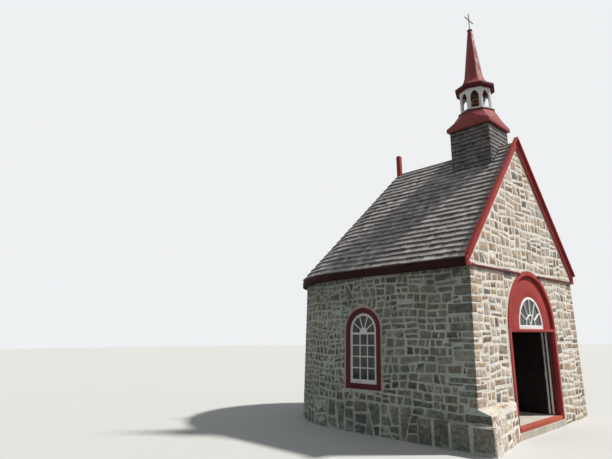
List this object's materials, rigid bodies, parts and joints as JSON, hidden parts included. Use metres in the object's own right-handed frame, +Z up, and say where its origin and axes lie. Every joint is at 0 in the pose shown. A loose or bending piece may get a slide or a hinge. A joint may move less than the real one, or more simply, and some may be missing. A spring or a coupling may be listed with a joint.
{
  "type": "small chapel",
  "caption": "Small rubble-stone chapel with a steep shingled roof, round rear end, arched doorway with swinging leaves, and a ridge belfry with a swinging bell",
  "frame": {"origin": "on the ground, in the middle of the front face", "axes": "+Z up, -Y out of the front doorway, +Y towards the round end, +X to the right of someone facing the front"},
  "size_m": [4.96, 5.5798, 9.036],
  "materials": {
    "rubble_stone": "rough",
    "floor_stone": "worn",
    "shingles": "weathered",
    "ridge_boards": "weathered",
    "red_paint": "painted, faded",
    "dark_red_paint": "painted",
    "white_paint": "painted",
    "glass": "clear",
    "iron": "forged",
    "dark_paint": "painted",
    "plain_wood": "aged",
    "bell_metal": "patinated"
  },
  "bodies": {
    "building": {"front_pier_left": "rubble_stone", "front_pier_right": "rubble_stone", "front_gable": "rubble_stone", "side_wall_left": "rubble_stone", "side_wall_right": "rubble_stone", "apse_wall_left": "rubble_stone", "apse_wall_rear": "rubble_stone", "apse_wall_right": "rubble_stone", "corner_footing": "rubble_stone", "floor": "floor_stone", "roof_slope_left": "shingles", "roof_slope_right": "shingles", "apse_roof": "shingles", "belfry_base": "shingles", "ridge_cap": "ridge_boards", "rake_board_left": "red_paint", "rake_board_right": "red_paint", "eaves_boards": "red_paint", "string_course": "red_paint", "ridge_post": "red_paint", "door_jambs": "red_paint", "door_arch": "red_paint", "door_transom": "red_paint", "door_threshold": "red_paint", "tympanum_panel": "red_paint", "window_frames": "red_paint", "belfry_skirt_roof": "red_paint", "spire": "red_paint", "lantern_ring": "dark_red_paint", "spire_eaves": "dark_red_paint", "fanlight_frame": "white_paint", "window_sashes": "white_paint", "lantern": "white_paint", "fanlight_glass": "glass", "window_glass": "glass", "door_pintles": "iron", "cross": "iron", "bell_bearers": "plain_wood"},
    "door_leaf_left": {"door_leaf_left": "dark_paint", "strap_hinges_left": "iron"},
    "door_leaf_right": {"door_leaf_right": "dark_paint", "strap_hinges_right": "iron"},
    "bell": {"bell_headstock": "plain_wood", "bell": "bell_metal", "bell_clapper": "bell_metal"}
  },
  "joints": [
    {"name": "left_leaf_hinge", "type": "hinge", "parent": "building", "child": "door_leaf_left", "pos_m": [-0.995, 0.117, 0.99], "axis": [0, 0, -1], "range_deg": [0, 90]},
    {"name": "right_leaf_hinge", "type": "hinge", "parent": "building", "child": "door_leaf_right", "pos_m": [0.995, 0.117, 0.99], "axis": [0, 0, 1], "range_deg": [0, 90]},
    {"name": "bell_swing", "type": "hinge", "parent": "building", "child": "bell", "pos_m": [0, 0.76, 6.93], "axis": [1, 0, 0], "range_deg": [-30, 30]}
  ]
}
